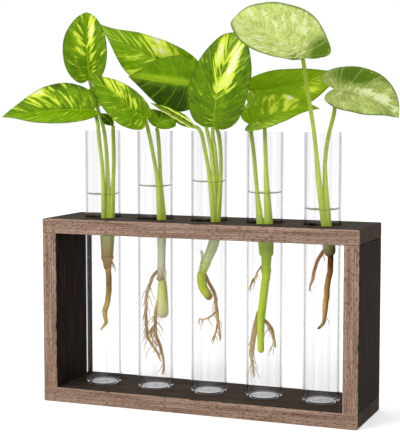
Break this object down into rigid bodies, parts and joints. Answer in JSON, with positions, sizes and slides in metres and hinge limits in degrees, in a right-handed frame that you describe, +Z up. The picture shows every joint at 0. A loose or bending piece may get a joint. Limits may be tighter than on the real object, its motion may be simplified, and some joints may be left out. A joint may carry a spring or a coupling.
{
  "type": "test tube vase",
  "caption": "Low stained wooden frame holding a row of glass test tubes that pass through its top board, each with a rooting vine cutting.",
  "frame": {"origin": "on the ground under the middle of the frame, at the middle of the bottom board's lower face", "axes": "+X along the row of tubes to the right as seen from the front, +Z up, the front faces -Y"},
  "size_m": [0.3752, 0.1196, 0.3519],
  "materials": {
    "stained_wood": "dark brown stain, matt, sanded lighter at the front and back edges",
    "dowel_wood": "plain beech",
    "tube_glass": "clear, fire-polished rim",
    "stem": "smooth living green stem",
    "roots": "wet brown roots",
    "green_leaf": "waxy leaf, green with lime and cream streaks",
    "pale_leaf": "thin pale green leaf with darker veins"
  },
  "bodies": {
    "frame": {"top_board": "stained_wood", "bottom_board": "stained_wood", "left_side_board": "stained_wood", "right_side_board": "stained_wood", "corner_dowels": "dowel_wood"},
    "tube_1": {"tube_1": "tube_glass"},
    "tube_2": {"tube_2": "tube_glass"},
    "tube_3": {"tube_3": "tube_glass"},
    "tube_4": {"tube_4": "tube_glass"},
    "tube_5": {"tube_5": "tube_glass"},
    "cutting_1": {"cutting_1_stem": "stem", "cutting_1_roots": "roots", "cutting_1_long_leaf": "green_leaf", "cutting_1_tall_leaf": "green_leaf", "cutting_1_curled_leaf": "green_leaf", "cutting_1_bud_leaf": "green_leaf"},
    "cutting_2": {"cutting_2_stem": "stem", "cutting_2_roots": "roots", "cutting_2_front_leaf": "green_leaf", "cutting_2_small_leaf": "green_leaf"},
    "cutting_3": {"cutting_3_stem": "stem", "cutting_3_roots": "roots", "cutting_3_heart_leaf": "green_leaf", "cutting_3_folded_leaf": "green_leaf", "cutting_3_far_leaf": "green_leaf", "cutting_3_narrow_leaf": "green_leaf"},
    "cutting_4": {"cutting_4_stem": "stem", "cutting_4_roots": "roots", "cutting_4_bright_leaf": "green_leaf", "cutting_4_back_leaf": "green_leaf"},
    "cutting_5": {"cutting_5_stem": "stem", "cutting_5_roots": "roots", "cutting_5_top_leaf": "pale_leaf", "cutting_5_side_leaf": "pale_leaf"}
  },
  "joints": [
    {"name": "tube_1_lift", "type": "slide", "parent": "frame", "child": "tube_1", "axis": [0, 0, 1], "range_m": [0, 0.16]},
    {"name": "tube_2_lift", "type": "slide", "parent": "frame", "child": "tube_2", "axis": [0, 0, 1], "range_m": [0, 0.16]},
    {"name": "tube_3_lift", "type": "slide", "parent": "frame", "child": "tube_3", "axis": [0, 0, 1], "range_m": [0, 0.16]},
    {"name": "tube_4_lift", "type": "slide", "parent": "frame", "child": "tube_4", "axis": [0, 0, 1], "range_m": [0, 0.16]},
    {"name": "tube_5_lift", "type": "slide", "parent": "frame", "child": "tube_5", "axis": [0, 0, 1], "range_m": [0, 0.16]},
    {"name": "cutting_1_lift", "type": "slide", "parent": "tube_1", "child": "cutting_1", "axis": [0, 0, 1], "range_m": [0, 0.19]},
    {"name": "cutting_2_lift", "type": "slide", "parent": "tube_2", "child": "cutting_2", "axis": [0, 0, 1], "range_m": [0, 0.235]},
    {"name": "cutting_3_lift", "type": "slide", "parent": "tube_3", "child": "cutting_3", "axis": [0, 0, 1], "range_m": [0, 0.19]},
    {"name": "cutting_4_lift", "type": "slide", "parent": "tube_4", "child": "cutting_4", "axis": [0, 0, 1], "range_m": [0, 0.225]},
    {"name": "cutting_5_lift", "type": "slide", "parent": "tube_5", "child": "cutting_5", "axis": [0, 0, 1], "range_m": [0, 0.175]}
  ]
}
